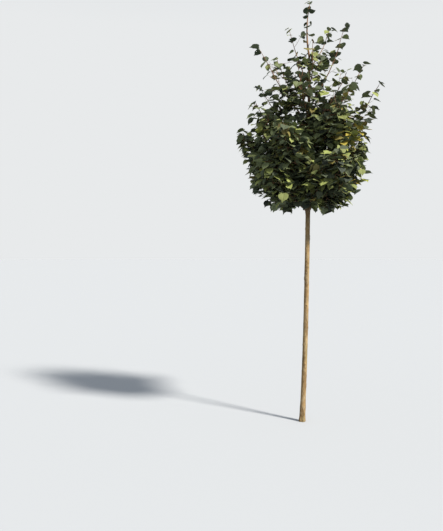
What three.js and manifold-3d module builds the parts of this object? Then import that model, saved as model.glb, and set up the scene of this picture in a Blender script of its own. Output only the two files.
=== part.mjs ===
// A young linden tree of nursery size: one straight stem that runs up as a leader to the tip,
// tapering side boughs that bend upwards, and a mass of foliage round the outer part of each bough.
// Millimetres, +Z up. The origin is the middle of the flat cut under the stem, at ground level.
// Seen along +Y, +X is to the right. Bearings turn from +X (0 degrees) towards +Y (90 degrees).

import * as THREE from "three";
import { mergeVertices } from "three/addons/utils/BufferGeometryUtils.js";
import Module from "manifold-3d";

const wasm = await Module();
wasm.setup();

// Driving dimensions of the stem
const TREE_HEIGHT = 4035; // with the leaves at its tip
const STEM_HEIGHT = 3985;
const CLEAR_STEM = 2000; // bare length under the lowest bough
const STEM_RADIUS = 25.5; // above the root flare
const STEM_RADIUS_AT_FORK = 22; // where the lowest bough leaves
const TIP_RADIUS = 2.2;
const FLARE = 7; // extra radius of the root flare at the ground
const FLARE_HEIGHT = 70; // the flare fades over this height
const FLARE_LOBES = 5;
const FLARE_LOBE_SHARE = 0.1; // height of a lobe, as a share of the radius
const LEADER_TAPER = 0.72; // under 1 keeps the leader thick for longer
const LEAN = 60; // how far the stem leans to +X
const LEAN_HEIGHT = 1100; // most of the lean is done by this height
const SWAY = 12; // a slow bend in Y
const WHIP_START = 3490; // the thin top bends one way, then back
const WHIP_BEND = 116;
const WHIP_CROSSING = 0.87;

// Boughs
const BOUGH_RADIUS = 9.5; // of the thickest bough, where it leaves the stem
const BOUGH_RADIUS_TOP = 4; // and of the uppermost
const BOUGH_TAPER = 0.75; // how much of its radius a bough loses by its far end
const BOUGH_OUT = 0.6; // the bend of a bough lies this far out, as a share of its reach
const BOUGH_UP = 0.36; // and this far up, as a share of its rise
const BOUGH_BOW = 0.09; // sideways bow, as a share of its reach
const BOW_TURN = 1.3; // radians by which the bow differs from one bough to the next
const BARE_SHARE = 0.16; // share of a bough that is bare before its foliage
const SOCKET_SHARE = 0.1; // share of a bough that reaches into its foliage

// The boughs that make the outline: where each leaves the stem, its bearing, how far out from
// the stem it ends, how high, half the thickness of its foliage, and how much of that it loses
// towards its end.
const OUTLINE_BOUGHS = [
  { leaves: 2060, bearing: -28, reach: 500, top: 2500, leafy: 165, slims: 0.3 },
  { leaves: 2200, bearing: 24, reach: 640, top: 2810, leafy: 150, slims: 0.2 },
  { leaves: 2440, bearing: -10, reach: 675, top: 3230, leafy: 118, slims: 0.55 },
  { leaves: 2760, bearing: 12, reach: 570, top: 3460, leafy: 108, slims: 0.65 },
  { leaves: 2800, bearing: -30, reach: 390, top: 3330, leafy: 98, slims: 0.3 },
  { leaves: 3000, bearing: -16, reach: 350, top: 3770, leafy: 96, slims: 0.4 },
  { leaves: 3370, bearing: 26, reach: 240, top: 3820, leafy: 48, slims: 0.2 },
  { leaves: 2020, bearing: 205, reach: 540, top: 2520, leafy: 165, slims: 0.3 },
  { leaves: 2150, bearing: 168, reach: 660, top: 2830, leafy: 140, slims: 0.3 },
  { leaves: 2370, bearing: 194, reach: 540, top: 3060, leafy: 120, slims: 0.3 },
  { leaves: 2620, bearing: 163, reach: 490, top: 3270, leafy: 114, slims: 0.3 },
  { leaves: 2860, bearing: 188, reach: 490, top: 3570, leafy: 118, slims: 0.78 },
  { leaves: 2940, bearing: 172, reach: 320, top: 3520, leafy: 86, slims: 0.3 },
  { leaves: 3220, bearing: 170, reach: 200, top: 3800, leafy: 60, slims: 0.4 },
];

// The boughs that fill the front and the back in turn, worked out from the lowest to the uppermost.
const FILLING_BOUGHS = 9;
const FILLING_LEAVES = [2020, 3150];
const FILLING_REACH = [560, 220];
const FILLING_RISE = [520, 480];
const FILLING_LEAFY = [170, 96];
const FILLING_SLIMS = 0.3;
const FILLING_THINS_OUT = 1.6; // over 1 keeps the reach for longer on the way up
const FILLING_SPREAD = 40; // degrees to each side of straight to the front or back
const FILLING_TURN = 1.9; // radians by which the spread differs from one bough to the next
const FILLING_PHASE = 0.5; // and where that starts, at the lowest one

// The foliage round the leader: the height where each mass starts, and half its thickness.
// The last one ends at the top of the tree.
const LEADER_FOLIAGE = [
  { foot: 3330, leafy: 108 },
  { foot: 3600, leafy: 74 },
  { foot: 3790, leafy: 48 },
];
const LEADER_SLIMS = 0.3;

// Foliage masses are lumpy by two waves that run round and along them. Each wave has its height as
// a share of the radius, and the radians by which it differs from one mass to the next.
const FOLIAGE_LUMPS = [
  { height: 0.14, round: 3, along: 4, turn: 2.3 },
  { height: 0.14, round: 2, along: 9, turn: -1.7 },
];
const FOLIAGE_DETAIL = 2;

// Meshes
const STEM_SIDES = 10;
const STEM_STEPS = 16;
const STEM_CROWDING = 1.8; // over 1 puts the rings of the stem closer together in the root flare
const BOUGH_SIDES = 6;
const BOUGH_STEPS = 2;
const GAP = 0.35; // clearance between pieces that touch
const WELD = 1e-3; // vertices nearer than this are one
const TINY = 1e-6;
const STEP = 0.01; // share of a path over which its direction is measured

const BARK = { color: 0x94795a, roughness: 0.85, metalness: 0 };
const LEAF = { color: 0x4c5a2c, roughness: 0.6, metalness: 0 };

const mix = THREE.MathUtils.lerp;
const radians = THREE.MathUtils.degToRad;

// How far up the crown a height is, from 0 at the lowest bough to 1 at the stem's tip.
function crownShare(height) {
  return THREE.MathUtils.clamp((height - CLEAR_STEM) / (STEM_HEIGHT - CLEAR_STEM), 0, 1);
}

// The middle of the stem at a height.
function stemCentre(height) {
  const lean = LEAN * (1 - Math.exp(-height / LEAN_HEIGHT));
  const up = Math.max(0, (height - WHIP_START) / (TREE_HEIGHT - WHIP_START));
  const whip = WHIP_BEND * up * (up - WHIP_CROSSING);
  return new THREE.Vector3(lean + whip, SWAY * Math.sin((Math.PI * height) / CLEAR_STEM), height);
}

// The stem's radius at a height and an angle round it. The lobes belong to the root flare.
function stemRadius(height, angle) {
  const fade = Math.exp(-height / FLARE_HEIGHT);
  const lobe = 1 + FLARE_LOBE_SHARE * fade * Math.cos(FLARE_LOBES * angle);
  if (height < CLEAR_STEM) {
    return (mix(STEM_RADIUS, STEM_RADIUS_AT_FORK, height / CLEAR_STEM) + FLARE * fade) * lobe;
  }
  return mix(TIP_RADIUS, STEM_RADIUS_AT_FORK, (1 - crownShare(height)) ** LEADER_TAPER);
}

// A frame is a point of a path with two directions to lay a ring in. This one has its ring level.
function levelFrame(centre) {
  return { centre, side: new THREE.Vector3(1, 0, 0), up: new THREE.Vector3(0, 1, 0) };
}

// The frame at a share of a curve, with its ring square to the curve.
function squareFrame(curve, share) {
  const along = curve
    .getPoint(Math.min(1, share + STEP))
    .sub(curve.getPoint(Math.max(0, share - STEP)))
    .normalize();
  const side = new THREE.Vector3(0, 0, 1).cross(along).normalize();
  const up = along.cross(side);
  return { centre: curve.getPoint(share), side, up };
}

// Lays a unit shape, which stands along its Y axis, along a path. shareAt turns its Y into a share
// of the path, frameAt gives the frame at a share, and radiusAt the half thickness there.
function layAlong(geometry, shareAt, frameAt, radiusAt) {
  const place = geometry.getAttribute("position");
  for (let i = 0; i < place.count; i++) {
    const share = shareAt(place.getY(i));
    const out = Math.hypot(place.getX(i), place.getZ(i));
    const angle = out < TINY ? 0 : Math.atan2(place.getX(i), place.getZ(i));
    const size = out < TINY ? 0 : out * radiusAt(share, angle);
    const { centre, side, up } = frameAt(share);
    const point = centre
      .addScaledVector(side, size * Math.cos(angle))
      .addScaledVector(up, size * Math.sin(angle));
    place.setXYZ(i, point.x, point.y, point.z);
  }
  return geometry;
}

function lumpAt(wave, share, angle, seed) {
  return wave.height * Math.sin(wave.round * angle + wave.along * share + wave.turn * seed);
}

// A closed, uneven mass of foliage along a path. seed gives it its own lumps.
function massGeometry(frameAt, leafy, slims, seed) {
  const radiusAt = (share, angle) => {
    const lumpy = FOLIAGE_LUMPS.reduce((sum, wave) => sum + lumpAt(wave, share, angle, seed), 1);
    return leafy * lumpy * (1 + slims * (1 - 2 * share));
  };
  const ball = new THREE.IcosahedronGeometry(1, FOLIAGE_DETAIL);
  return layAlong(ball, (y) => (y + 1) / 2, frameAt, radiusAt);
}

// The solid of a geometry, with every vertex moved out by a clearance.
function solidOf(geometry, clearance = 0) {
  const bare = geometry.clone();
  bare.deleteAttribute("normal");
  bare.deleteAttribute("uv");
  const welded = mergeVertices(bare, WELD);
  welded.computeVertexNormals();
  const place = welded.getAttribute("position");
  const normal = welded.getAttribute("normal");
  for (let i = 0; i < place.count; i++) {
    const x = place.getX(i) + clearance * normal.getX(i);
    const y = place.getY(i) + clearance * normal.getY(i);
    const z = place.getZ(i) + clearance * normal.getZ(i);
    place.setXYZ(i, x, y, z);
  }
  const mesh = new wasm.Mesh({
    numProp: 3,
    vertProperties: new Float32Array(place.array),
    triVerts: new Uint32Array(welded.index.array),
  });
  return new wasm.Manifold(mesh);
}

// The largest body of a solid, as a cut can leave crumbs.
function largestBody(solid) {
  return solid.decompose().reduce((best, body) => (body.volume() > best.volume() ? body : best));
}

function meshOf(name, solid, finish) {
  const { vertProperties, triVerts } = solid.getMesh();
  const geometry = new THREE.BufferGeometry();
  geometry.setAttribute("position", new THREE.BufferAttribute(new Float32Array(vertProperties), 3));
  geometry.setIndex(new THREE.BufferAttribute(new Uint32Array(triVerts), 1));
  geometry.computeVertexNormals();
  const mesh = new THREE.Mesh(geometry, new THREE.MeshStandardMaterial(finish));
  mesh.name = name;
  return mesh;
}

function numbered(word, number) {
  return `${word}_${String(number).padStart(2, "0")}`;
}

function fillingBough(k) {
  const share = k / (FILLING_BOUGHS - 1);
  const facing = k % 2 ? 90 : 270;
  const leaves = mix(...FILLING_LEAVES, share);
  return {
    leaves,
    bearing: facing + FILLING_SPREAD * Math.sin(FILLING_TURN * k + FILLING_PHASE),
    reach: mix(...FILLING_REACH, share ** FILLING_THINS_OUT),
    top: leaves + mix(...FILLING_RISE, share),
    leafy: mix(...FILLING_LEAFY, share),
    slims: FILLING_SLIMS,
  };
}

// The path of a bough: a curve that starts in the middle of the stem and bends upwards.
function boughPath(bough, number) {
  const start = stemCentre(bough.leaves);
  const bearing = radians(bough.bearing);
  const out = new THREE.Vector3(Math.cos(bearing), Math.sin(bearing), 0);
  const sideways = new THREE.Vector3(-out.y, out.x, 0);
  const rise = new THREE.Vector3(0, 0, bough.top - bough.leaves);
  const bend = start
    .clone()
    .addScaledVector(out, BOUGH_OUT * bough.reach)
    .addScaledVector(sideways, BOUGH_BOW * bough.reach * Math.sin(BOW_TURN * number))
    .addScaledVector(rise, BOUGH_UP);
  const end = start.clone().addScaledVector(out, bough.reach).add(rise);
  return new THREE.QuadraticBezierCurve3(start, bend, end);
}

// The stem, from the flat cut to its tip. With a clearance it is what cuts the pieces round it.
function stemSolid(clearance = 0) {
  const heightAt = (share) => (STEM_HEIGHT + clearance) * share ** STEM_CROWDING;
  const geometry = layAlong(
    new THREE.CylinderGeometry(1, 1, 1, STEM_SIDES, STEM_STEPS),
    (y) => y + 0.5,
    (share) => levelFrame(stemCentre(heightAt(share))),
    (share, angle) => stemRadius(heightAt(share), angle) + clearance,
  );
  return solidOf(geometry);
}

// The bare first part of a bough, with a socket that ends inside its foliage.
function boughSolid(path, thick, clearance = 0) {
  const end = BARE_SHARE + SOCKET_SHARE + clearance / path.getLength();
  const geometry = layAlong(
    new THREE.CylinderGeometry(1, 1, 1, BOUGH_SIDES, BOUGH_STEPS),
    (y) => (y + 0.5) * end,
    (share) => squareFrame(path, share),
    (share) => thick * (1 - BOUGH_TAPER * share) + clearance,
  );
  return solidOf(geometry);
}

const filling = Array.from({ length: FILLING_BOUGHS }, (_, k) => fillingBough(k));
const boughs = [...OUTLINE_BOUGHS, ...filling].sort((a, b) => a.leaves - b.leaves);
const paths = boughs.map((bough, index) => boughPath(bough, index + 1));

const tree = new THREE.Group();
tree.add(meshOf("trunk", stemSolid(), BARK));
const cutters = [stemSolid(GAP)]; // what later foliage is cut by: all pieces so far, with a gap

boughs.forEach((bough, index) => {
  const thick = mix(BOUGH_RADIUS, BOUGH_RADIUS_TOP, crownShare(bough.leaves));
  const limb = boughSolid(paths[index], thick).subtract(cutters[0]);
  tree.add(meshOf(numbered("bough", index + 1), largestBody(limb), BARK));
  cutters.push(boughSolid(paths[index], thick, GAP));
});

function addFoliage(name, geometry) {
  const mass = cutters.reduce((solid, cutter) => solid.subtract(cutter), solidOf(geometry));
  tree.add(meshOf(name, largestBody(mass), LEAF));
  cutters.push(solidOf(geometry, GAP));
}

// The uppermost masses are the slimmest, so they come first and stay whole.
for (let index = boughs.length - 1; index >= 0; index--) {
  const { leafy, slims } = boughs[index];
  const frameAt = (share) => squareFrame(paths[index], mix(BARE_SHARE, 1, share));
  addFoliage(numbered("foliage", index + 1), massGeometry(frameAt, leafy, slims, index));
}

LEADER_FOLIAGE.forEach(({ foot, leafy }, index) => {
  const top = LEADER_FOLIAGE[index + 1]?.foot ?? TREE_HEIGHT;
  const frameAt = (share) => levelFrame(stemCentre(mix(foot, top, share)));
  const name = numbered("leader_foliage", index + 1);
  addFoliage(name, massGeometry(frameAt, leafy, LEADER_SLIMS, index));
});

export default tree;
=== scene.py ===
# A young linden tree: a stem and boughs with bark relief, and shoots, twigs and leaves that grow on
# from the boughs by a seeded branching rule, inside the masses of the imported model.
# Metres, +Z up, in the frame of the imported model. Seen along +Y, +X is to the right.

import math
from collections import namedtuple
from functools import cache
from itertools import product

import bpy
import numpy as np
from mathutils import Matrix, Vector, noise
from mathutils.bvhtree import BVHTree


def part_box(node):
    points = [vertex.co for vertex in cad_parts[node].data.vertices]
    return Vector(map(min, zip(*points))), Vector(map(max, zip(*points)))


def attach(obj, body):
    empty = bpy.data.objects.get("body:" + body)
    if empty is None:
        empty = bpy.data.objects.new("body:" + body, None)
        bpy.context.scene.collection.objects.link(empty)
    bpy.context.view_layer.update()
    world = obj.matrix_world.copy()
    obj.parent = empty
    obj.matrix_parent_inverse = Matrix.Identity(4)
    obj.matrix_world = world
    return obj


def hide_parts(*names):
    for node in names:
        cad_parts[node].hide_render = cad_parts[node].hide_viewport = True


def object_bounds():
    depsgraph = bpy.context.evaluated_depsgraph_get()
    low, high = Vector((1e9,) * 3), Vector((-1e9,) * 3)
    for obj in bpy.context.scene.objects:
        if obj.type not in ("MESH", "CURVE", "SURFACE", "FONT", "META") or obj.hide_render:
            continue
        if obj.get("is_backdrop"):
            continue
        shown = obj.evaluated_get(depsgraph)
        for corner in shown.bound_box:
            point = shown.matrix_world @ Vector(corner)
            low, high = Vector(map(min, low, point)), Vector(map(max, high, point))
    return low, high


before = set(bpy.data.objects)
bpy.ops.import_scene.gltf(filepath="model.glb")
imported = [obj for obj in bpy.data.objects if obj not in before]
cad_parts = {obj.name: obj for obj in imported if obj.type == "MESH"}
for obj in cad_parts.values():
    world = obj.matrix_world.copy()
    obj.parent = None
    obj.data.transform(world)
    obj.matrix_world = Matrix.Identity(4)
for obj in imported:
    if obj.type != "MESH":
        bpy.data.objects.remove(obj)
cad_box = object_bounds()

UP = Vector((0, 0, 1))
LEVEL = (1, 1, 0)  # times a vector, its level part
GOLDEN_TURN = 2.39996  # radians
BACK, FRONT = 90, 270  # bearings, in degrees
NEARLY_UPRIGHT = 0.05
NO_LENGTH = 1e-9
ROUNDING = 1e-6

# The stem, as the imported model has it
TREE_HEIGHT = 4.035
STEM_HEIGHT = 3.985
CLEAR_STEM = 2.0
STEM_RADIUS = 0.0255
STEM_RADIUS_AT_FORK = 0.022
TIP_RADIUS = 0.0022
FLARE = 0.007
FLARE_HEIGHT = 0.07
FLARE_LOBES = 5
FLARE_LOBE_SHARE = 0.1
MEAN_ANGLE = math.pi / (2 * FLARE_LOBES)  # between a lobe and a hollow
LEADER_TAPER = 0.72
LEAN = 0.06
LEAN_HEIGHT = 1.1
SWAY = 0.012
WHIP_START = 3.49
WHIP_BEND = 0.116
WHIP_CROSSING = 0.87

# Boughs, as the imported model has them
BOUGH_RADIUS = 0.0095
BOUGH_RADIUS_TOP = 0.004
BOUGH_TAPER = 0.75
BOUGH_OUT = 0.6
BOUGH_UP = 0.36
BOUGH_BOW = 0.09
BOW_TURN = 1.3
BARE_SHARE = 0.16

# The height where a bough leaves the stem, its bearing in degrees, its reach, the height of its top,
# and how open its foliage is for its height
Bough = namedtuple("Bough", "leaves bearing reach top opens", defaults=[1])
OUTLINE_BOUGHS = [
    Bough(2.06, -28, 0.5, 2.5),
    Bough(2.2, 24, 0.64, 2.81),
    Bough(2.44, -10, 0.675, 3.23),
    Bough(2.76, 12, 0.57, 3.46),
    Bough(2.8, -30, 0.39, 3.33),
    Bough(3.0, -16, 0.35, 3.77, opens=0.7),
    Bough(3.37, 26, 0.24, 3.82, opens=0.35),
    Bough(2.02, 205, 0.54, 2.52),
    Bough(2.15, 168, 0.66, 2.83),
    Bough(2.37, 194, 0.54, 3.06),
    Bough(2.62, 163, 0.49, 3.27),
    Bough(2.86, 188, 0.49, 3.57),
    Bough(2.94, 172, 0.32, 3.52),
    Bough(3.22, 170, 0.2, 3.8),
]
FILLING_BOUGHS = 9
FILLING_LEAVES = (2.02, 3.15)
FILLING_REACH = (0.56, 0.22)
FILLING_RISE = (0.52, 0.48)
FILLING_THINS_OUT = 1.6
FILLING_SPREAD = 40
FILLING_TURN = 1.9
FILLING_PHASE = 0.5
LEADER_FEET = (3.33, 3.6, 3.79)
LEADER_TURN = 2  # radians from each mass round the leader to the next

# Bark relief of the stem
Knot = namedtuple("Knot", "height angle size cut")
STEM_SIDES = 64
RING_STEP = 0.0042
RING_STEP_TOP = 0.009
FISSURE_DEPTH = 0.0009
FISSURE_WIDTH = 0.0062
FISSURE_STRETCH = 12
FISSURE_EDGE = 0.22  # the noise value where a fissure ends
FISSURE_SHARPNESS = 1.5
FISSURE_FADE = 1.3
FISSURE_LEAST = 0.2
UNEVEN = 0.0011
UNEVEN_SCALE = Vector((30, 30, 9))
KNOT_TALL = 1.3
KNOT_FADES_OUT = 4
COLLAR_SIZE = 2.1
COLLAR_RISE = 0.3
SCARS = 15
SCAR_HEIGHTS = (0.28, 1.95)
SCAR_PLACES = (0.1, 0.9)  # of the height that each scar has for itself
SCAR_STRAY = 0.4  # radians
SCAR_SIZE = 0.011
SCAR_SIZES = (0.7, 1.2)
GRAFT_HEIGHT = 0.13
GRAFT_LENGTH = 0.035
GRAFT_SWELL = 0.0022

# The rim, the hollow and the stain of a scar. Widths are shares of its size
SCAR_RIM = 0.0028
SCAR_RIM_PLACE = 0.8
SCAR_RIM_WIDTH = 0.45
SCAR_HOLLOW = 0.9
SCAR_HOLLOW_WIDTH = 0.5
SCAR_STAIN_WIDTH = 0.75

# Bark relief of the boughs
BOUGH_SIDES = 12
BOUGH_RING_STEP = 0.006
BOUGH_LEAST_RINGS = 8
BARK_STEPS = 20  # in which a bough's length is measured for its bark
LIMB_STEPS = 40  # and for its shoots
BOUGH_TIP = 0.15
COLLAR_SWELL = 0.7
COLLAR_LENGTH = 0.02
NODE_SWELL = 0.16
NODE_STEP = 0.036
NODE_SHARPNESS = 8
BOUGH_ROUGH = 0.00035
BOUGH_ROUGH_ALONG = 40
BOUGH_ROUGH_SCALE = 1.7
BOUGH_ROUGH_DRIFT = 3
BOUGH_WANDER = 0.011
BOUGH_WANDER_RISE = 3
BOUGH_WANDER_SCALE = 5.5
STRAY_OFFSETS = (0, 17.3, 41.9)
BOUGH_END = 0.045  # from the end of its wood to the end of its path
LIMB_STEP = 0.01  # of a path, to find its direction
TIP_STEP = 0.03

# Steps along wood and gaps between leaves, where the crown is dense and where it is open
TWIG_STEP = (0.022, 0.048)
LEAF_STEP = (0.027, 0.05)
FILL_STEP = (0.035, 0.07)
FILL_GAP = (0.027, 0.07)
OPENS_UP = (2.8, 3.2)  # the heights between which it opens
STEP_SPREAD = (0.8, 1.2)  # by which the step along a limb varies

# Shoots and twigs
TWIG_LEAST = 0.03
TWIG_MOST = 0.24
TWIG_LENGTHS = (0.75, 1)  # of the room that there is
TWIG_ANGLE = (62, 36)  # degrees from the limb, at its foot and at its tip
TWIG_ANGLE_STRAY = 8  # degrees
TWIG_TURN_STRAY = 0.35  # radians
TWIG_FLAT_STRAY = 0.35
TWIG_RADIUS = 0.0024
TWIG_TIP_RADIUS = 0.0011
TWIG_BULK = 0.25
TWIG_UPTURN = 2.2
TWIG_STRAY = 0.04
TWIG_SIDES = 5
ZIGZAG = 0.14
SIDE_TWIG_LEAST = 0.06
SIDE_TWIG_SHARE = 0.5
SIDE_TWIG_LENGTHS = (0.7, 1)
SIDE_TWIG_FORWARD = 0.75
SIDE_TWIG_SIDES = 4
BUD = ((0.001, 0.0012), (0.002, 0.0019), (0.0022, 0.0015), (0.002, 0.0002))  # steps and radii
HOP = 1e-5  # past a surface that a ray meets
BRIDGED = 0.06  # the widest gap between masses that is inside the crown
INNER_FOOT = 2.06
INNER_STEP = 0.035
INNER_SIDES = 8
INNER_REACH = (0.07, 0.17)
INNER_OPENS = 0.8

# How leaves stand on their shoots
LEAF_ROOM = 0.06
LEAF_FORWARD = 0.6
LEAF_STRAY = 0.15
LEAF_CENTRE = 0.75
LEAF_PROUD = 0.022  # that the middle of a leaf may stand out of the crown
BOX_PROUD = 0.026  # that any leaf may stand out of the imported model's box
TIP_LEAF = (0.9, 0.82)
TIP_LEAF_FADE = 0.12

# Leaves. Lengths without a unit are shares of the leaf's length
LEAF_LENGTH = 0.085
LEAF_SIZES = (0.6, 1.25)
SMALL_LEAVES = 1.4  # over 1, small leaves outnumber large ones
LEAF_SIZE_AT = (1.06, 1.0)  # at the foot of the crown and at its top
LEAF_WIDTH = 1.04
LEAF_WIDTHS = (0.9, 1.1)
LEAF_ROWS = 9
LEAF_ROW_CROWDING = 0.22  # brings rows closer at the notch and at the tip
LEAF_ROUND = 0.46
LEAF_MIDDLE = 0.32
LEAF_TIP = 0.2
LEAF_TIP_WIDTH = 0.2
LEAF_NOTCH = 0.3
LEAF_NOTCH_WIDTH = 0.38
LEAF_TOOTH = 0.011
LEAF_FROM_RIB = 0.45
LEAF_FROM_EDGE = 0.55
RIB_CROWDING = 2.1
STALK_LENGTH = 0.42
STALK_LENGTHS = (0.7, 1.25)
STALK_SIDES = 3
STALK_LIFT = 0.3
STALK_STRAY = 0.15
STALK_SAG = 0.03
STALK_RADII = (0.0011, 0.0008, 0.0009, 0.0006, 0.0002)
RIB_PLACES = (0.42, 0.85)
HEADING_STRAY = 0.25
DROOP = (21, 12)  # at the foot of the crown and at its top
DROOP_SPREAD = 24
DROOP_LIMITS = (-15, 80)
ROLL_SPREAD = 22
FOLD = (0.02, 0.3)
CURL = (0.0, 0.3)
WAVE = (0.0, 0.12)
WAVES = 9
CUP = 0.03
THICKNESS = 0.0006

# Colours, as they would look on a screen
# Upper side, underside, and weights outside at the foot of the crown, outside at its top, deep inside. The
# weights deep inside favour the darkest tones, as painted shade inside the crown
LEAF_TONES = [
    ("333931", "4e5845", (1.2, 0.8, 4)),
    ("464d3c", "606a54", (2.2, 1.6, 3)),
    ("5b6345", "737d60", (2.8, 3, 1.2)),
    ("6e7547", "828c69", (2.2, 2.8, 0.4)),
    ("7b834b", "8a9467", (1.5, 2, 0.1)),
    ("665f34", "837e52", (0.4, 0.7, 0.3)),
    ("7c813c", "8d9456", (0.3, 0.4, 0)),
    ("94873a", "9f9552", (0.03, 0.1, 0)),
]
# The depths over which the leaf tones darken, as painted shade
PAINTED_SHADE_DEPTHS = (0.05, 0.16)  # from the outside of the crown
OWN_TONE = 0.5  # of the side shoots that have a tone of their own
LEADER_TONE = 3
YELLOW_TONES = (6, 7)
YELLOW_REACH = 0.1
YELLOW_BACK = 0.15
YELLOW_SHARE = 0.6
YELLOWED = [(0.58, 2.78), (0.455, 2.78), (0.36, 2.68), (0.436, 3.03), (0.48, 2.2)]  # X and Z
TWIG_TONES = ["74503c", "856348", "715c3c"]
STALK_TONES = ["7f8a4a", "8c5a3c"]
STEM_TONES = ("8c7350", "b0966b")
STEM_LAYERS = dict(  # the tone of each, and the most that it covers
    grain=("7a5f3a", 0.5),
    film=("aa9b7c", 0.45),
    algae=("7f7d4c", 0.45),
    youth=("7a5641", 0.75),
    furrows=("4f3b25", 0.8),
    lenticels=("bba274", 0.7),
    fissures=("3d2d1e", 0.75),
    scars=("54402e", 0.7),
)
BOUGH_TONES = dict(old=("5f4a35", "8e7453"), young=("4f3222", "7a5236"), lenticels=("a98c66", 0.6))

# Finishes
COLOUR_A, COLOUR_B, COLOUR_OUT = 6, 7, 2  # the sockets of a Mix node that are for colours
NOISE_RANGE = (0.3, 0.7)  # where most values of a noise lie
FURROW_BEND = 0.9
FINE_FURROWS = 0.6  # how deep they are beside the wide ones
UPPER_ROUGHNESS = 0.66
UNDER_ROUGHNESS = 0.78
GLOSS_SPREAD = 0.09
VEINS = 7
VEIN_SLOPE = 0.7
VEIN_EDGE = 0.75  # of a wave, above which it is a vein
MIDRIB_WIDTH = 0.035

# The camera and the studio
CAMERA_PLACE = (-0.776, -5.75, 1.62)
CAMERA_DIPS = 1.19  # degrees
FOCAL_PIXELS = 600
FRAME_HEIGHT = 531
SENSOR = 36  # millimetres, along the frame's long side
BACKDROP = [(-0.2, "949aa2"), (-0.08, "e8eaeb"), (0.35, "e8eaeb"), (1.0, "adbbcb")]  # Z, tone
KEY = dict(strength=8.0, angle=8, bearing=-38, height=42, colour=(1, 0.95, 0.87))  # angles in degrees
FLOOR_TONE = "9fa2a6"
FLOOR_RADIUS = 150
FLOOR_SIDES = 64

SEED = 9001
TINT_SEED = 4
LEADER_SEED = 100
INNER_SEED = 200


def mix(a, b, share):
    return a + (b - a) * share


def clamp(value):
    return max(0.0, min(1.0, value))


def crown_share(height):
    return clamp((height - CLEAR_STEM) / (STEM_HEIGHT - CLEAR_STEM))


def angles_round(sides):
    return np.arange(sides) * 2 * math.pi / sides


def level_way(angle):
    return Vector((math.cos(angle), math.sin(angle), 0))


def openness(height):
    """How open the foliage is at a height, from 0 in the dense lower crown to 1 in its top."""
    low, high = OPENS_UP
    return clamp((height - low) / (high - low))


def stem_centre(height):
    lean = LEAN * (1 - math.exp(-height / LEAN_HEIGHT))
    up = max(0, (height - WHIP_START) / (TREE_HEIGHT - WHIP_START))
    whip = WHIP_BEND * up * (up - WHIP_CROSSING)
    return Vector((lean + whip, SWAY * math.sin(math.pi * height / CLEAR_STEM), height))


def stem_radius(height, angle=MEAN_ANGLE):
    fade = math.exp(-height / FLARE_HEIGHT)
    lobe = 1 + FLARE_LOBE_SHARE * fade * math.cos(FLARE_LOBES * angle)
    if height < CLEAR_STEM:
        plain = mix(STEM_RADIUS, STEM_RADIUS_AT_FORK, height / CLEAR_STEM)
        return (plain + FLARE * fade) * lobe
    return mix(TIP_RADIUS, STEM_RADIUS_AT_FORK, (1 - crown_share(height)) ** LEADER_TAPER)


def filling_bough(k):
    share = k / (FILLING_BOUGHS - 1)
    leaves = mix(*FILLING_LEAVES, share)
    facing = BACK if k % 2 else FRONT
    return Bough(
        leaves=leaves,
        bearing=facing + FILLING_SPREAD * math.sin(FILLING_TURN * k + FILLING_PHASE),
        reach=mix(*FILLING_REACH, share**FILLING_THINS_OUT),
        top=leaves + mix(*FILLING_RISE, share),
    )


def bough_path(bough, number):
    """The curve of a bough, as a function of the share of its length."""
    start = stem_centre(bough.leaves)
    out = level_way(math.radians(bough.bearing))
    sideways = Vector((-out.y, out.x, 0))
    rise = UP * (bough.top - bough.leaves)
    bow = BOUGH_BOW * math.sin(BOW_TURN * number)
    bend = start + (out * BOUGH_OUT + sideways * bow) * bough.reach + rise * BOUGH_UP
    end = start + out * bough.reach + rise
    return lambda t: start * (1 - t) ** 2 + bend * 2 * t * (1 - t) + end * t**2


def square_frame(along):
    """Two directions square to a direction, the second as near to up as can be."""
    side = UP.cross(along)
    side = side.normalized() if side.length > NEARLY_UPRIGHT else Vector((1, 0, 0))
    return side, along.cross(side).normalized()


def add_object(name, data):
    added = bpy.data.objects.new(name, data)
    bpy.context.scene.collection.objects.link(added)
    return added


class Shape:
    """Collects triangles with a material number each, and makes one piece of them."""

    def __init__(self):
        self.places, self.faces, self.looks, self.values = [], [], [], []
        self.count = 0

    def add(self, places, faces, look, values=None):
        places = np.asarray(places, float).reshape(-1, 3)
        faces = np.asarray(faces, int).reshape(-1, 3)
        self.places.append(places)
        self.faces.append(faces + self.count)
        self.looks.append(np.broadcast_to(look, len(faces)))
        self.values.append(values)
        self.count += len(places)

    def piece(self, name, finish, slot, nodes, attribute=None):
        places, faces = np.concatenate(self.places), np.concatenate(self.faces)
        mesh = bpy.data.meshes.new(name)
        mesh.vertices.add(len(places))
        mesh.vertices.foreach_set("co", places.ravel())
        mesh.loops.add(faces.size)
        mesh.loops.foreach_set("vertex_index", faces.ravel())
        mesh.polygons.add(len(faces))
        mesh.polygons.foreach_set("loop_start", np.arange(0, faces.size, 3))
        mesh.polygons.foreach_set("material_index", np.concatenate(self.looks))
        mesh.update(calc_edges=True)
        mesh.shade_smooth()
        if attribute:
            kept = mesh.attributes.new(attribute, "FLOAT_VECTOR", "POINT")
            kept.data.foreach_set("vector", np.concatenate(self.values).ravel())
        for material in finish:
            mesh.materials.append(material)
        piece = add_object(name, mesh)
        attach(piece, "root")
        if nodes:
            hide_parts(*nodes)


def tube_faces(rings, sides):
    """Triangles of a tube of rings of points, open at both ends."""
    ring, side = np.meshgrid(np.arange(rings - 1), np.arange(sides), indexing="ij")
    a, b = ring * sides + side, ring * sides + (side + 1) % sides
    return np.stack([a, b, b + sides, a, b + sides, a + sides], -1).reshape(-1, 3)


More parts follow.
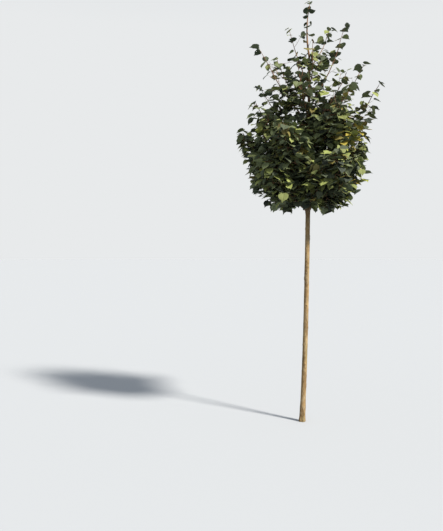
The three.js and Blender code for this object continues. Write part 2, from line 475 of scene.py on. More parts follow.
def tube(points, radii, sides):
    """Points of a tube along a path. The rings turn as little as can be from one to the next."""
    points = np.array(points, float)
    along = np.gradient(points, axis=0)
    along /= np.linalg.norm(along, axis=1)[:, None]
    side = np.array(square_frame(Vector(along[0]))[0])
    angles = angles_round(sides)
    places = []
    for point, way, radius in zip(points, along, radii):
        side = side - way * side.dot(way)
        side /= np.linalg.norm(side)
        up = np.cross(way, side)
        ring = np.outer(np.cos(angles), side) + np.outer(np.sin(angles), up)
        places.append(point + ring * np.reshape(radius, (-1, 1)))
    return np.concatenate(places)


def crack_at(place):
    """How deep in a fissure of the bark a place is, from 0 to 1."""
    coarse = Vector((place.x, place.y, place.z / FISSURE_STRETCH)) / FISSURE_WIDTH
    across = abs(noise.noise(coarse)) / FISSURE_EDGE
    return max(0.0, 1 - across) ** FISSURE_SHARPNESS


def close_by(height, angle, knot):
    """Distance on the stem from a knot, as a share of the knot's size."""
    turn = (angle - knot.angle + math.pi) % (2 * math.pi) - math.pi
    return np.hypot((height - knot.height) / KNOT_TALL, turn * stem_radius(knot.height)) / knot.size


def stem_knots(rng, boughs):
    """The collars under the boughs, and the scars where lower shoots were cut off."""
    knots = []
    for bough in boughs:
        size = COLLAR_SIZE * bough_radius(bough, 0)
        knots.append(Knot(bough.leaves, math.radians(bough.bearing), size, cut=False))
    for k in range(SCARS):
        height = mix(*SCAR_HEIGHTS, (k + rng.uniform(*SCAR_PLACES)) / SCARS)
        size = SCAR_SIZE * rng.uniform(*SCAR_SIZES)
        turn = k * GOLDEN_TURN + rng.uniform(-SCAR_STRAY, SCAR_STRAY)
        knots.append(Knot(height, turn, size, cut=True))
    return knots


def knot_relief(height, angles, knots):
    """How far the knots raise a ring of the stem, and how much of it is scar."""
    raised, scarred = np.zeros((2, len(angles)))
    for knot in knots:
        if abs(height - knot.height) > KNOT_FADES_OUT * knot.size:
            continue
        off = close_by(height, angles, knot)
        if knot.cut:
            rim = np.exp(-(((off - SCAR_RIM_PLACE) / SCAR_RIM_WIDTH) ** 2))
            hollow = SCAR_HOLLOW * np.exp(-((off / SCAR_HOLLOW_WIDTH) ** 2))
            raised += SCAR_RIM * (rim - hollow)
            scarred += np.exp(-((off / SCAR_STAIN_WIDTH) ** 4))
        else:
            raised += COLLAR_RISE * knot.size * np.exp(-(off**2))
    return raised, scarred


def stem_heights():
    """Heights of the rings of the stem, which lie closer together near the ground."""
    heights = [0.0]
    while heights[-1] < STEM_HEIGHT:
        heights.append(heights[-1] + mix(RING_STEP, RING_STEP_TOP, crown_share(heights[-1])))
    heights[-1] = STEM_HEIGHT
    return heights


def stem_ring(height, angles, knots):
    """The points of a ring of the stem, each with how much fissure, height and scar it has."""
    centre = stem_centre(height)
    raised, scarred = knot_relief(height, angles, knots)
    graft = GRAFT_SWELL * math.exp(-(((height - GRAFT_HEIGHT) / GRAFT_LENGTH) ** 2))
    fade = mix(FISSURE_LEAST, 1, math.exp(-height / FISSURE_FADE))
    thin = min(1, stem_radius(height) / STEM_RADIUS_AT_FORK)
    for angle, rise, scar in zip(angles, raised, scarred):
        way = level_way(angle)
        radius = stem_radius(height, angle) + graft + rise * thin
        bare = centre + way * radius
        crack = crack_at(bare) * fade * thin
        uneven = UNEVEN * noise.noise(bare * UNEVEN_SCALE) * thin
        yield bare + way * (uneven - FISSURE_DEPTH * crack), (crack, crown_share(height), scar)


def make_stem(boughs):
    knots = stem_knots(np.random.default_rng(SEED), boughs)
    heights = stem_heights()
    angles = angles_round(STEM_SIDES)
    points = [point for height in heights for point in stem_ring(height, angles, knots)]
    places, values = map(list, zip(*points))
    faces = tube_faces(len(heights), STEM_SIDES)
    foot, tip, last = len(places), len(places) + 1, len(places) - STEM_SIDES
    places += [stem_centre(0), stem_centre(STEM_HEIGHT) + UP * TIP_RADIUS]
    values += [(0, 0, 0), (0, 1, 0)]
    ends = []
    for k in range(STEM_SIDES):
        after = (k + 1) % STEM_SIDES
        ends += [(foot, after, k), (tip, last + k, last + after)]
    shape = Shape()
    shape.add(places, np.vstack([faces, ends]), 0, np.array(values))
    shape.piece("stem_bark", [bark_material()], "bark", ["trunk"], "bark")


def bough_radius(bough, share):
    thick = mix(BOUGH_RADIUS, BOUGH_RADIUS_TOP, crown_share(bough.leaves))
    return thick * (1 - BOUGH_TAPER * share)


def stray_at(place):
    """A vector that changes smoothly from place to place."""
    return Vector([noise.noise(place + UP * off) for off in STRAY_OFFSETS])


def wandering(path, number):
    """A path that strays a little from the one given, more so away from its start."""

    def strayed(t):
        place = path(t)
        stray = stray_at(place * BOUGH_WANDER_SCALE + Vector((number, 0, 0)))
        return place + stray * BOUGH_WANDER * min(1, BOUGH_WANDER_RISE * t)

    return strayed


def path_length(path, steps):
    return sum((path((k + 1) / steps) - path(k / steps)).length for k in range(steps))


def make_bough(number, bough, path, end):
    """The bark of a bough from inside the stem to its pointed tip, with a collar and nodes."""
    length = path_length(path, BARK_STEPS)
    rings = max(BOUGH_LEAST_RINGS, round(length * end / BOUGH_RING_STEP))
    shares = [end * k / (rings - 1) for k in range(rings)]
    points = [path(share) for share in shares]
    angles = angles_round(BOUGH_SIDES)
    radii, values = [], []
    for share, point in zip(shares, points):
        gone = share * length - stem_radius(bough.leaves)
        collar = 1 + COLLAR_SWELL * math.exp(-max(0, gone) / COLLAR_LENGTH)
        nodes = 1 + NODE_SWELL * max(0, math.sin(gone * math.pi / NODE_STEP)) ** NODE_SHARPNESS
        plain = bough_radius(bough, share) * collar * nodes
        ring = []
        for angle in angles:
            around = level_way(angle) + UP * (gone * BOUGH_ROUGH_ALONG)
            rough = noise.noise(around * BOUGH_ROUGH_SCALE + point * BOUGH_ROUGH_DRIFT)
            ring.append(plain + BOUGH_ROUGH * rough)
        radii.append(ring)
        values += [(0, share, 0)] * BOUGH_SIDES
    radii[-1] = [radius * BOUGH_TIP for radius in radii[-1]]
    shape = Shape()
    faces = tube_faces(rings, BOUGH_SIDES)
    shape.add(tube(points, radii, BOUGH_SIDES), faces, 0, np.array(values))
    shape.piece(f"bough_bark_{number:02d}", [bough_material()], "bark", [f"bough_{number:02d}"], "bark")


def search_tree(*names):
    """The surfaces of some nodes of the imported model, to be searched."""
    corners, faces = [], []
    for name in names:
        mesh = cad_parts[name].data
        start = len(corners)
        corners += [v.co.copy() for v in mesh.vertices]
        faces += [[start + i for i in face.vertices] for face in mesh.polygons]
    return BVHTree.FromPolygons(corners, faces)


crown = search_tree(*[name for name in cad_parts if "foliage" in name])


def room(place, way, most):
    """How far the crown reaches from a place. It runs on across gaps where a limb lies."""
    gone, edge, inside = 0.0, 0.0, False
    while gone < most:
        hit, normal, _, far = crown.ray_cast(place + way * gone, way, most - gone)
        if hit is None:
            break
        gone += far + HOP
        if normal.dot(way) > 0:
            edge, inside = gone, False
        elif gone - edge > BRIDGED:
            return edge
        else:
            inside = True
    return most if inside else edge


def nearest(places, place):
    """The nearest of some places to a place, after its distance."""
    places = np.array(places)
    off = ((places - place) ** 2).sum(1)
    best = off.argmin()
    return math.sqrt(off[best]), Vector(places[best])


def turned(rng, way, spread):
    return (way + Vector(rng.normal(0, spread, 3))).normalized()


def leaf_share(height, left):
    """How large a leaf is beside others, by how much of its shoot is left."""
    return mix(mix(*TIP_LEAF, crown_share(height)), 1, clamp(left / TIP_LEAF_FADE))


class Mass:
    """The twigs and leaves of one mass of foliage."""

    def __init__(self, name, seed, nodes, opens=1):
        self.name, self.nodes, self.opens = name, nodes, opens
        self.rng = np.random.default_rng([SEED, seed])
        self.tints = np.random.default_rng([SEED, seed, TINT_SEED])
        self.twigs = Shape()
        self.leaves = []  # of each its node, its direction outward, its size and its tone
        self.leafy = []  # places in the middle of leaves
        self.wood = []  # places along the twigs

    def at(self, pair, height):
        """A value between those of a dense and an open crown."""
        return mix(*pair, self.opens * openness(height))

    def leaf(self, place, outward, size, tone):
        """Adds a leaf, turned back to the crown where it would stand out too far."""
        size *= mix(*LEAF_SIZE_AT, crown_share(place.z))
        centre = place + outward * (LEAF_LENGTH * size * LEAF_CENTRE)
        near, normal, _, _ = crown.find_nearest(centre)
        proud = (centre - near).dot(normal)
        if proud > LEAF_PROUD:
            centre -= normal * (proud - LEAF_PROUD)
            outward = (centre - place).normalized()
        size *= mix(*LEAF_SIZES, self.rng.random() ** SMALL_LEAVES)
        self.leaves.append((tuple(place), tuple(outward), size, tone))
        self.leafy.append(tuple(place + outward * (LEAF_LENGTH * size * LEAF_CENTRE)))

    def twig(self, points, radius, tone, sides):
        """The wood of a shoot, with the bud at its tip."""
        way = (points[-1] - points[-2]).normalized()
        radii = list(np.linspace(radius, TWIG_TIP_RADIUS, len(points)))
        for gone, wide in BUD:
            points.append(points[-1] + way * gone)
            radii.append(wide)
        self.twigs.add(tube(points, radii, sides), tube_faces(len(points), sides), tone % len(TWIG_TONES))

    def shoot(self, place, way, length, flat, tone, is_side=False):
        """A zigzag shoot that bends up to the light, with a leaf at each node, and side shoots."""
        rng, height = self.rng, place.z
        count = max(1, round(length / self.at(LEAF_STEP, height)))
        step = length / count
        points = [place.copy()]
        hand = 1 if rng.random() < 0.5 else -1
        for k in range(1, count + 1):
            side = flat.cross(way).normalized() * hand
            way = (way + side * ZIGZAG + UP * TWIG_UPTURN * step).normalized()
            way = turned(rng, way, TWIG_STRAY)
            place = place + way * step
            points.append(place)
            self.wood.append(tuple(place))
            left = length - k * step
            outward = way if k == count else (way * LEAF_FORWARD - side).normalized()
            self.leaf(place, turned(rng, outward, LEAF_STRAY), leaf_share(height, left), tone)
            if not is_side and left > SIDE_TWIG_LEAST - ROUNDING:
                self.side_shoot(place, way * SIDE_TWIG_FORWARD - side, left, flat, tone)
            hand = -hand
        thick = mix(TWIG_TIP_RADIUS, TWIG_RADIUS, clamp(length / TWIG_MOST + TWIG_BULK))
        self.twig(points, thick, tone, SIDE_TWIG_SIDES if is_side else TWIG_SIDES)

    def side_shoot(self, place, sideways, left, flat, tone):
        """A side shoot, as long as there is room for and as suits what is left of its shoot."""
        sideways = sideways.normalized()
        free = room(place, sideways, TWIG_MOST) - LEAF_ROOM
        long = min(free, left * SIDE_TWIG_SHARE + SIDE_TWIG_LEAST / 2)
        if long > TWIG_LEAST:
            if self.tints.random() < OWN_TONE:
                tone = tone_at(place, self.tints)
            self.shoot(place, sideways, long * self.rng.uniform(*SIDE_TWIG_LENGTHS), flat, tone, True)

    def limb(self, path, length, shares, phase):
        """Shoots and leaves all round a limb between two shares of its path."""
        rng = self.rng
        gone, number = shares[0] * length, 0
        while gone < shares[1] * length:
            share = gone / length
            place = path(share)
            self.wood.append(tuple(place))
            along = (path(min(1, share + LIMB_STEP)) - path(share - LIMB_STEP)).normalized()
            side, up = square_frame(along)
            turn = phase + number * GOLDEN_TURN + rng.uniform(-TWIG_TURN_STRAY, TWIG_TURN_STRAY)
            out = side * math.cos(turn) + up * math.sin(turn)
            stray = rng.uniform(-TWIG_ANGLE_STRAY, TWIG_ANGLE_STRAY)
            angle = math.radians(mix(*TWIG_ANGLE, share) + stray)
            way = along * math.cos(angle) + out * math.sin(angle)
            free = room(place, way, TWIG_MOST + LEAF_ROOM) - LEAF_ROOM
            tone = tone_at(place + way * max(0, free), self.tints)
            if free > TWIG_LEAST:
                flat = turned(rng, UP, TWIG_FLAT_STRAY)
                self.shoot(place, way, min(free, TWIG_MOST) * rng.uniform(*TWIG_LENGTHS), flat, tone)
            else:
                self.leaf(place, way, leaf_share(place.z, (1 - share) * length), tone)
            number += 1
            gone += self.at(TWIG_STEP, place.z) * rng.uniform(*STEP_SPREAD)

    def places_in(self, node):
        """Places spread evenly through the solid of a node."""
        low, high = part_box(node)
        solid = search_tree(node)
        pitch = self.at(FILL_STEP, (low.z + high.z) / 2)
        found = []
        for corner in product(*[np.arange(*ends, pitch) for ends in zip(low, high)]):
            place = Vector(corner) + Vector(self.rng.uniform(0, pitch, 3))
            near, normal, _, _ = solid.find_nearest(place)
            if normal.dot(place - near) < 0:
                found.append(place)
        return found

    def fill(self, places):
        """Grows shoots from the nearest wood towards the places that no leaf is near."""
        for place in sorted(places, key=lambda place: nearest(self.wood, place)[0]):
            if nearest(self.leafy, place)[0] < self.at(FILL_GAP, place.z):
                continue
            reach, start = nearest(self.wood, place)
            way = (place - start).normalized()
            flat = turned(self.rng, UP, TWIG_FLAT_STRAY)
            tone = tone_at(place, self.tints)
            self.shoot(start, way, max(TWIG_LEAST, reach - LEAF_ROOM / 2), flat, tone, True)


def painted_shade_at(place):
    """How deep in the crown a place is, from 0 near its outside to 1. Deeper sprays get darker leaf tones
    from it, as painted shade.
    """
    away = place - stem_centre(place.z)
    if away.length < STEM_RADIUS:
        return 1
    low, high = PAINTED_SHADE_DEPTHS
    return clamp((room(place, away.normalized(), high) - low) / (high - low))


def tone_at(place, rng):
    """The number of a spray's leaf tone. Deeper in the crown the darker tones are dealt more often, as
    painted shade. Yellow ones are few, and gather in places.
    """
    for x, z in YELLOWED:
        if place.y < YELLOW_BACK and math.hypot(place.x - x, place.z - z) < YELLOW_REACH:
            if rng.random() < YELLOW_SHARE:
                return YELLOW_TONES[int(rng.integers(len(YELLOW_TONES)))]
    up, shade = crown_share(place.z), painted_shade_at(place)
    # Painted shade: the deeper a spray stands in the crown, the more its weights lean to the dark tones
    weights = np.array([mix(mix(low, high, up), deep, shade) for _, _, (low, high, deep) in LEAF_TONES])
    return int(rng.choice(len(weights), p=weights / weights.sum()))


def leaf_half():
    """Rows of a half leaf from the notch at its foot to its tip: rib, middle and edge."""
    rows = []
    for k in range(LEAF_ROWS + 1):
        share = k / LEAF_ROWS
        angle = math.pi * (1 - share) + LEAF_ROW_CROWDING * math.sin(2 * math.pi * share)
        tip = LEAF_TIP * math.exp(-((angle / LEAF_TIP_WIDTH) ** 2))
        notch = LEAF_NOTCH * math.exp(-(((math.pi - angle) / LEAF_NOTCH_WIDTH) ** 2))
        tooth = LEAF_TOOTH * (-1) ** k if 0 < k < LEAF_ROWS else 0
        far = LEAF_ROUND * (1 + tip - notch + tooth)
        edge = np.array([far * math.sin(angle), LEAF_MIDDLE + far * math.cos(angle)])
        rib = np.array([0, share**RIB_CROWDING])
        if k == 0:
            edge = rib
        if k == LEAF_ROWS:
            rib = edge = np.array([0, 1.0])
        rows.append((rib, rib * LEAF_FROM_RIB + edge * LEAF_FROM_EDGE, edge))
    return rows


def leaf_template():
    """Points of a leaf (across, along, cup, underside) and its faces, with 0 for its upper side."""
    rows = leaf_half()
    points, faces, looks = [], [], []
    for under in (0, 1):
        columns = (0, 2) if under else (0, 1, 2)
        for hand in (1, -1):
            index = {}
            for k, row in enumerate(rows):
                for column in columns:
                    if column and k in (0, LEAF_ROWS):
                        index[k, column] = index[k, 0]
                        continue
                    x, y = row[column]
                    index[k, column] = len(points)
                    points.append((x * hand, y, float(column == 1), under * float(column < 2)))
            for k in range(LEAF_ROWS):
                for a, b in zip(columns, columns[1:]):
                    near, *far = index[k, a], index[k, b], index[k + 1, b], index[k + 1, a]
                    for face in ([near, *far[:2]], [near, *far[1:]]):
                        if len(set(face)) == 3:
                            faces.append(face if (hand > 0) != bool(under) else face[::-1])
                            looks.append(under)
    return np.array(points), np.array(faces), np.array(looks)


def unit(vectors):
    return vectors / np.maximum(np.linalg.norm(vectors, axis=-1, keepdims=True), NO_LENGTH)


def leaf_poses(rng, node, outward, size):
    """Where the blade of each leaf starts, and the directions along it, across it and off its face."""
    count, up = len(node), np.array(UP)
    stalk = unit(outward + up * STALK_LIFT + rng.normal(0, STALK_STRAY, (count, 3)))
    base = node + stalk * (STALK_LENGTH * size * rng.uniform(*STALK_LENGTHS, count))[:, None]
    heading = unit(stalk * LEVEL + rng.normal(0, HEADING_STRAY, (count, 3)) * LEVEL)
    share = np.clip((node[:, 2] - CLEAR_STEM) / (STEM_HEIGHT - CLEAR_STEM), 0, 1)
    droop = rng.normal(mix(*DROOP, share), DROOP_SPREAD)
    droop = np.radians(np.clip(droop, *DROOP_LIMITS))[:, None]
    way = heading * np.cos(droop) - up * np.sin(droop)
    face = heading * np.sin(droop) + up * np.cos(droop)
    roll = np.radians(rng.normal(0, ROLL_SPREAD, count))[:, None]
    face = face * np.cos(roll) + np.cross(way, face) * np.sin(roll)
    return base, way, np.cross(way, face), face


def leaf_blades(rng, points, base, way, across, face, size):
    """The points of all blades, and how far a place on each is lifted off its flat face."""
    count = len(base)
    wide = LEAF_WIDTH * rng.uniform(*LEAF_WIDTHS, count)[:, None]
    fold, curl, wave = (rng.uniform(*limits, count)[:, None] for limits in (FOLD, CURL, WAVE))
    phase = rng.uniform(0, 2 * math.pi, count)[:, None]

    def lift(x, y):
        waves = wave * np.abs(x) * np.sin(WAVES * y + phase + np.sign(x))
        return fold * np.abs(x) - curl * y * np.abs(y) + waves

    x, y, cup, under = points.T[:, None]
    high = lift(x, y) + CUP * cup
    blade = base[:, None] + size[:, None, None] * (
        (wide * x)[..., None] * across[:, None]
        + np.repeat(y, count, 0)[..., None] * way[:, None]
        + high[..., None] * face[:, None]
    )
    return blade - (THICKNESS * under)[..., None] * face[:, None], lift


def into_box(blade):
    """How far each blade has to move so that it stays in the model's box."""
    low, high = np.array(cad_box)
    return np.maximum(low - BOX_PROUD - blade.min(1), 0) - np.maximum(blade.max(1) - BOX_PROUD - high, 0)


def leaf_stalks(node, base, way, across, face, size, lift):
    """Rings of points of the stalk of each leaf, which runs on as the midrib of its blade."""
    sag = np.array(UP) * size[:, None] * STALK_SAG
    ribs = [node, node + (base - node) * 0.5 - sag, base]
    for along in RIB_PLACES:
        here = lift(np.zeros((1, 1)), np.full((1, 1), along))
        ribs.append(base + size[:, None] * (along * way + here * face) - 0.5 * THICKNESS * face)
    ribs = np.stack(ribs, 1)
    run = unit(np.gradient(ribs, axis=1))
    side = unit(across[:, None] - run * (across[:, None] * run).sum(-1, keepdims=True))
    other = np.cross(run, side)
    turns = angles_round(STALK_SIDES)
    ring = np.cos(turns)[:, None] * side[:, :, None] + np.sin(turns)[:, None] * other[:, :, None]
    thick = np.array(STALK_RADII)[None, :, None, None] * (size / LEAF_LENGTH)[:, None, None, None]
    return (ribs[:, :, None] + ring * thick).reshape(len(node), -1, 3)


def make_leaves(mass):
    """All leaves of a mass as one piece: two-sided blades with their stalks and midribs."""
    node, outward, size, tone = map(np.array, zip(*mass.leaves))
    size, tone = size * LEAF_LENGTH, tone[:, None]
    points, faces, looks = leaf_template()
    base, way, across, face = leaf_poses(mass.rng, node, outward, size)
    blades, lift = leaf_blades(mass.rng, points, base, way, across, face, size)
    moved = into_box(blades)
    blades = blades + moved[:, None]
    stalks = leaf_stalks(node, base + moved, way, across, face, size, lift)

    stalk_faces = tube_faces(len(STALK_RADII), STALK_SIDES) + len(points)
    per_leaf = len(points) + stalks.shape[1]
    starts = np.arange(len(node)) * per_leaf
    all_faces = np.vstack([faces, stalk_faces])[None] + starts[:, None, None]
    stalk_looks = 2 * len(LEAF_TONES) + tone % len(STALK_TONES)
    all_looks = np.hstack([2 * tone + looks, np.repeat(stalk_looks, len(stalk_faces), axis=1)])
    on_leaf = np.zeros((per_leaf, 3))
    on_leaf[: len(points), :2] = points[:, :2]
    shape = Shape()
    places = np.concatenate([blades, stalks], 1)
    shape.add(places, all_faces, all_looks.ravel(), np.tile(on_leaf, (len(node), 1)))
    shape.piece("leaves_" + mass.name, leaf_materials(), "foliage", mass.nodes, "leaf")


def linear(code):
    """The colour that looks like a six-digit code on a screen, as a shader takes it."""
    shares = [int(code[i : i + 2], 16) / 255 for i in (0, 2, 4)]
    return (*[s / 12.92 if s <= 0.04045 else ((s + 0.055) / 1.055) ** 2.4 for s in shares], 1)


class Nodes:
    """The nodes of a material or of the backdrop, and short ways to add to them."""

    def __init__(self, owner):
        owner.use_nodes = True
        self.tree = owner.node_tree

    def set(self, node, inputs):
        for name, value in inputs.items():
            socket = node.inputs[name if isinstance(name, int) else name.replace("_", " ")]
            if isinstance(value, bpy.types.NodeSocket):
                self.tree.links.new(value, socket)
            else:
                socket.default_value = value

    def node(self, kind, inputs, **settings):
        node = self.tree.nodes.new("ShaderNode" + kind)
        for name, value in settings.items():
            setattr(node, name, value)
        self.set(node, inputs)
        return node

    def maths(self, operation, a, b=0.0):
        return self.node("Math", {0: a, 1: b}, operation=operation).outputs[0]

    def total(self, terms):
        """The sum of some values, each times its weight."""
        first, *others = [self.maths("MULTIPLY", value, weight) for value, weight in terms]
        for other in others:
            first = self.maths("ADD", first, other)
        return first

    def spread(self, value, low, high, to_low=0.0, to_high=1.0):
        """Maps a value from low…high to to_low…to_high, held at its ends."""
        inputs = {"From Min": low, "From Max": high, "To Min": to_low, "To Max": to_high, "Value": value}
        return self.node("MapRange", inputs).outputs[0]


class Finish(Nodes):
    """A material with a Principled shader."""

    def __init__(self, name, **plain):
        self.material = bpy.data.materials.new(name)
        super().__init__(self.material)
        self.shader = self.tree.nodes["Principled BSDF"]
        self.set(self.shader, plain)

    def blend(self, share, a, b):
        node = self.node("Mix", {0: share, COLOUR_A: a, COLOUR_B: b}, data_type="RGBA")
        return node.outputs[COLOUR_OUT]

    def layer(self, colour, share, tone, most):
        """Lays a tone over a colour by a share from 0 to 1, times the most that it covers."""
        return self.blend(self.maths("MULTIPLY", share, most), colour, linear(tone))

    def places(self, across=1.0, along=1.0):
        """Places on the piece, scaled across the stem and along it."""
        where = self.node("TexCoord", {}).outputs["Object"]
        return self.node("Mapping", {"Vector": where, "Scale": (across, across, along)}).outputs[0]

    def noise(self, scale, along=1.0, detail=3.0):
        inputs = {"Vector": self.places(along=along), "Scale": scale, "Detail": detail}
        return self.node("TexNoise", inputs).outputs[0]

    def patches(self, edges, **noise):
        """Patches of a noise, from 0 to 1 between two of its values."""
        return self.spread(self.noise(**noise), *edges)

    def spots(self, scale, edges, across=1.0, along=1.0):
        """Round spots: 1 in the middle of a spot, and 0 outside it."""
        inputs = {"Vector": self.places(across, along), "Scale": scale}
        return self.spread(self.node("TexVoronoi", inputs).outputs["Distance"], *edges, 1, 0)

    def furrows(self, scale, along, width):
        """Gaps between long upright plates of bark: 1 in the middle of a gap, and 0 on a plate."""
        where = self.places(along=along)
        bent = self.node("TexNoise", {"Vector": where, "Scale": scale / 2, "Detail": 4.0}).outputs["Color"]
        bend = {0: bent, "Scale": FURROW_BEND / scale}
        bent = self.node("VectorMath", bend, operation="SCALE").outputs[0]
        where = self.node("VectorMath", {0: where, 1: bent}, operation="ADD").outputs[0]
        plates = self.node("TexVoronoi", {"Vector": where, "Scale": scale}, feature="DISTANCE_TO_EDGE")
        return self.spread(plates.outputs["Distance"], 0.0, width, 1, 0)

    def kept(self, name):
        """The three numbers that the mesh keeps for each point."""
        found = self.node("Attribute", {}, attribute_name=name).outputs["Vector"]
        return self.node("SeparateXYZ", {"Vector": found}).outputs

    def roughness(self, grain, at_low, at_high):
        """Lets the roughness go with a noise, between its usual values."""
        self.set(self.shader, {"Roughness": self.spread(grain, *NOISE_RANGE, at_low, at_high)})

    def relief(self, terms, strength, distance):
        """Raises the surface by the sum of some values, each times its weight."""
        inputs = {"Height": self.total(terms), "Strength": strength, "Distance": distance}
        self.set(self.shader, {"Normal": self.node("Bump", inputs).outputs[0]})


@cache
def bark_material():
    """Tan bark in long plates, with darker furrows, a greyer film that flakes, and pale lenticels."""
    bark = Finish("young_bark", Specular_IOR_Level=0.2)
    fissures, height, scars = bark.kept("bark")
    grain = bark.noise(scale=420, along=0.5, detail=5)
    film = bark.patches(scale=40, along=0.6, detail=6, edges=(0.5, 0.55))
    wide = bark.furrows(scale=95, along=0.13, width=0.17)
    fine = bark.maths("MULTIPLY", bark.furrows(scale=260, along=0.2, width=0.22), FINE_FURROWS)
    where = bark.spread(bark.noise(scale=20, along=0.3), low=0.38, high=0.6, to_low=0.25)
    furrows = bark.maths("MULTIPLY", bark.maths("MAXIMUM", wide, fine), where)
    few = bark.patches(scale=30, detail=1, edges=(0.5, 0.56))
    spots = bark.spots(scale=105, across=0.75, along=1.7, edges=(0.1, 0.24))
    lenticels = bark.maths("MULTIPLY", spots, few)
    shares = dict(
        grain=bark.spread(grain, low=0.4, high=0.66),
        algae=bark.patches(scale=13, along=0.3, detail=4, edges=(0.52, 0.7)),
        youth=bark.spread(height, low=0.0, high=0.5),
        film=film, furrows=furrows, lenticels=lenticels, fissures=fissures, scars=scars,
    )
    blotches = bark.patches(scale=22, along=0.5, detail=5, edges=(0.38, 0.62))
    colour = bark.blend(blotches, *map(linear, STEM_TONES))
    for name, (tone, most) in STEM_LAYERS.items():
        colour = bark.layer(colour, shares[name], tone, most)
    bark.set(bark.shader, {"Base Color": colour})
    bark.roughness(grain, at_low=0.95, at_high=0.78)
    bark.relief([(grain, 0.6), (lenticels, 0.6), (film, 0.3), (furrows, -1)], strength=0.9, distance=0.0014)
    return bark.material


@cache
def bough_material():
    """Smoother bark, grey-brown near the stem and red-brown towards the tip, with lenticels."""
    bark = Finish("bough_bark", Specular_IOR_Level=0.35)
    share = bark.kept("bark")[1]
    grain = bark.noise(scale=170, along=0.5, detail=4)
    grained = bark.spread(grain, *NOISE_RANGE)
    old, young = (bark.blend(grained, *map(linear, BOUGH_TONES[age])) for age in ("old", "young"))
    colour = bark.blend(bark.spread(share, low=0.15, high=0.7), old, young)
    lenticels = bark.spots(scale=230, edges=(0.12, 0.26))
    colour = bark.layer(colour, lenticels, *BOUGH_TONES["lenticels"])
    bark.set(bark.shader, {"Base Color": colour})
    bark.roughness(grain, at_low=0.8, at_high=0.55)
    bark.relief([(grain, 0.7), (lenticels, 0.5)], strength=0.6, distance=0.0006)
    return bark.material


def twig_material(number, code):
    twig = Finish(f"twig_{number}", Base_Color=linear(code), Specular_IOR_Level=0.4)
    grain = twig.noise(scale=420, along=0.6)
    lenticels = twig.spots(scale=420, edges=(0.1, 0.3))
    twig.roughness(grain, at_low=0.65, at_high=0.42)
    twig.relief([(grain, 1), (lenticels, 1)], strength=0.5, distance=0.0003)
    return twig.material


def leaf_material(name, code, roughness, vein):
    """One plain colour, with the veins raised or sunk, and a gloss that varies."""
    leaf = Finish(name, Base_Color=linear(code), Specular_IOR_Level=0.13)
    x, y, _ = leaf.kept("leaf")
    out = leaf.maths("ABSOLUTE", x)
    along = leaf.maths("SUBTRACT", y, leaf.maths("MULTIPLY", out, VEIN_SLOPE))
    waves = leaf.maths("SINE", leaf.maths("MULTIPLY", along, VEINS * 2 * math.pi))
    side_veins = leaf.spread(waves, VEIN_EDGE, 1)
    midrib = leaf.spread(out, 0.0, MIDRIB_WIDTH, 1, 0)
    veins = leaf.maths("MAXIMUM", side_veins, midrib)
    net = leaf.noise(scale=900, detail=2)
    gloss = leaf.noise(scale=45)
    leaf.roughness(gloss, roughness - GLOSS_SPREAD, roughness + GLOSS_SPREAD)
    leaf.relief([(veins, vein), (net, 0.35)], strength=0.45, distance=0.0009)
    return leaf.material


def stalk_material(number, code):
    stalk = Finish(f"leaf_stalk_{number}", Base_Color=linear(code), Specular_IOR_Level=0.4)
    grain = stalk.noise(scale=500, detail=2)
    stalk.roughness(grain, at_low=0.6, at_high=0.4)
    stalk.relief([(grain, 1)], strength=0.3, distance=0.0002)
    return stalk.material


@cache
def leaf_materials():
    """The upper side and the underside of each tone, and then the stalks."""
    found = []
    for number, (upper, under, _) in enumerate(LEAF_TONES):
        found.append(leaf_material(f"leaf_upper_{number}", upper, UPPER_ROUGHNESS, -1))
        found.append(leaf_material(f"leaf_under_{number}", under, UNDER_ROUGHNESS, 1))
    return found + [stalk_material(number, code) for number, code in enumerate(STALK_TONES)]


@cache
def twig_materials():
    return [twig_material(number, code) for number, code in enumerate(TWIG_TONES)]


def make_camera():
    camera = add_object("camera", bpy.data.cameras.new("camera"))
    camera.location = CAMERA_PLACE
    camera.rotation_euler = (math.radians(90 - CAMERA_DIPS), 0, 0)
    camera.data.sensor_width = SENSOR
    camera.data.lens = FOCAL_PIXELS / FRAME_HEIGHT * SENSOR
    bpy.context.scene.camera = camera


def make_lamp(strength, angle, bearing, height, colour):
    """A far, wide lamp. It stands at a bearing and a height above the horizon, in degrees."""
    lamp = add_object("key", bpy.data.lights.new("key", "SUN"))
    lamp.data.energy = strength
    lamp.data.angle = math.radians(angle)
    lamp.data.color = colour
    turn, rise = math.radians(bearing), math.radians(height)
    back = Vector((math.cos(turn) * math.cos(rise), math.sin(turn) * math.cos(rise), math.sin(rise)))
    lamp.rotation_euler = back.to_track_quat("Z", "Y").to_euler()


def make_backdrop():
    """A pale backdrop all round, with a tone for each height that a direction has."""
    world = bpy.data.worlds.new("studio")
    nodes = Nodes(world)
    way = nodes.node("TexCoord", {}).outputs["Generated"]
    height = nodes.node("SeparateXYZ", {"Vector": way}).outputs["Z"]
    ramp = nodes.node("ValToRGB", {0: nodes.spread(height, -1, 1)})
    nodes.set(nodes.tree.nodes["Background"], {"Color": ramp.outputs["Color"]})
    stops = ramp.color_ramp.elements
    while len(stops) < len(BACKDROP):
        stops.new(1)
    for stop, (z, tone) in zip(stops, BACKDROP):
        stop.position = (z + 1) / 2
        stop.color = linear(tone)
    bpy.context.scene.world = world


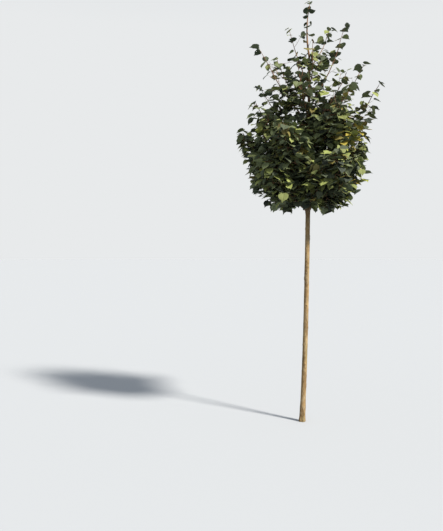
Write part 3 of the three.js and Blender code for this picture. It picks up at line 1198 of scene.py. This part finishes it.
def make_floor():
    """A pale round floor that meets the backdrop far off. It throws no light on the tree."""
    finish = Finish("floor", Base_Color=linear(FLOOR_TONE), Specular_IOR_Level=0.0)
    finish.roughness(finish.noise(scale=3, detail=4), at_low=0.9, at_high=1)
    turns = angles_round(FLOOR_SIDES)
    edge = [(FLOOR_RADIUS * math.cos(turn), FLOOR_RADIUS * math.sin(turn), 0) for turn in turns]
    mesh = bpy.data.meshes.new("floor")
    mesh.from_pydata(edge, [], [range(FLOOR_SIDES)])
    mesh.materials.append(finish.material)
    floor = add_object("floor", mesh)
    floor.visible_diffuse = False
    floor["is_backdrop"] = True


def make_studio():
    make_backdrop()
    make_lamp(**KEY)
    make_floor()
    bpy.context.scene.view_settings.view_transform = "Standard"


def places_round_stem(rng):
    """Places close round the stem inside the crown, from its foot to the leader's foliage."""
    found = []
    for height in np.arange(INNER_FOOT + INNER_STEP, LEADER_FEET[0], INNER_STEP):
        turn = rng.uniform(0, 2 * math.pi)
        for k in range(INNER_SIDES):
            found.append(stem_centre(height) + level_way(turn) * rng.uniform(*INNER_REACH))
            turn += 2 * math.pi / INNER_SIDES
    return found


def bough_mass(number, bough):
    """A bough, and the twigs and leaves of its mass."""
    path = wandering(bough_path(bough, number), number)
    length = path_length(path, LIMB_STEPS)
    end = 1 - BOUGH_END / length
    make_bough(number, bough, path, end)
    node = f"foliage_{number:02d}"
    mass = Mass(f"{number:02d}", number, [node], bough.opens)
    mass.limb(path, length, (BARE_SHARE, end), number)
    tip = path(end)
    way = (tip - path(end - TIP_STEP)).normalized()
    mass.leaf(tip, way, leaf_share(tip.z, 0), tone_at(tip, mass.tints))
    mass.fill(mass.places_in(node))
    return mass


def leader_path(share):
    return stem_centre(share * STEM_HEIGHT)


def leader_masses():
    """The twigs and leaves round the leader, above the uppermost bough."""
    masses = []
    tops = (*LEADER_FEET[1:], STEM_HEIGHT)
    for number, (foot, top) in enumerate(zip(LEADER_FEET, tops), 1):
        mass = Mass(f"leader_{number:02d}", LEADER_SEED + number, [f"leader_foliage_{number:02d}"])
        mass.limb(leader_path, STEM_HEIGHT, (foot / STEM_HEIGHT, top / STEM_HEIGHT), number * LEADER_TURN)
        masses.append(mass)
    masses[-1].leaf(leader_path(1), UP, TIP_LEAF[1], LEADER_TONE)
    return masses


def inner_mass():
    """The twigs and leaves close round the stem, inside the masses of the boughs."""
    mass = Mass("stem", INNER_SEED, [], INNER_OPENS)
    mass.limb(leader_path, STEM_HEIGHT, (INNER_FOOT / STEM_HEIGHT, LEADER_FEET[0] / STEM_HEIGHT), 0)
    mass.fill(places_round_stem(mass.rng))
    return mass


def make_crown(boughs):
    """Every bough with its twigs and leaves, and those of the leader and of the inside."""
    masses = [bough_mass(number, bough) for number, bough in enumerate(boughs, 1)]
    for mass in [*masses, *leader_masses(), inner_mass()]:
        if mass.twigs.count:
            mass.twigs.piece("twigs_" + mass.name, twig_materials(), "bark", mass.nodes)
        make_leaves(mass)


filling = [filling_bough(k) for k in range(FILLING_BOUGHS)]
boughs = sorted(OUTLINE_BOUGHS + filling)  # from the lowest up

make_camera()
make_studio()
make_stem(boughs)
make_crown(boughs)

visual_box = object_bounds()
boxes = {"cad": cad_box, "visual": visual_box}
{name: [list(corner) for corner in box] for name, box in boxes.items()}
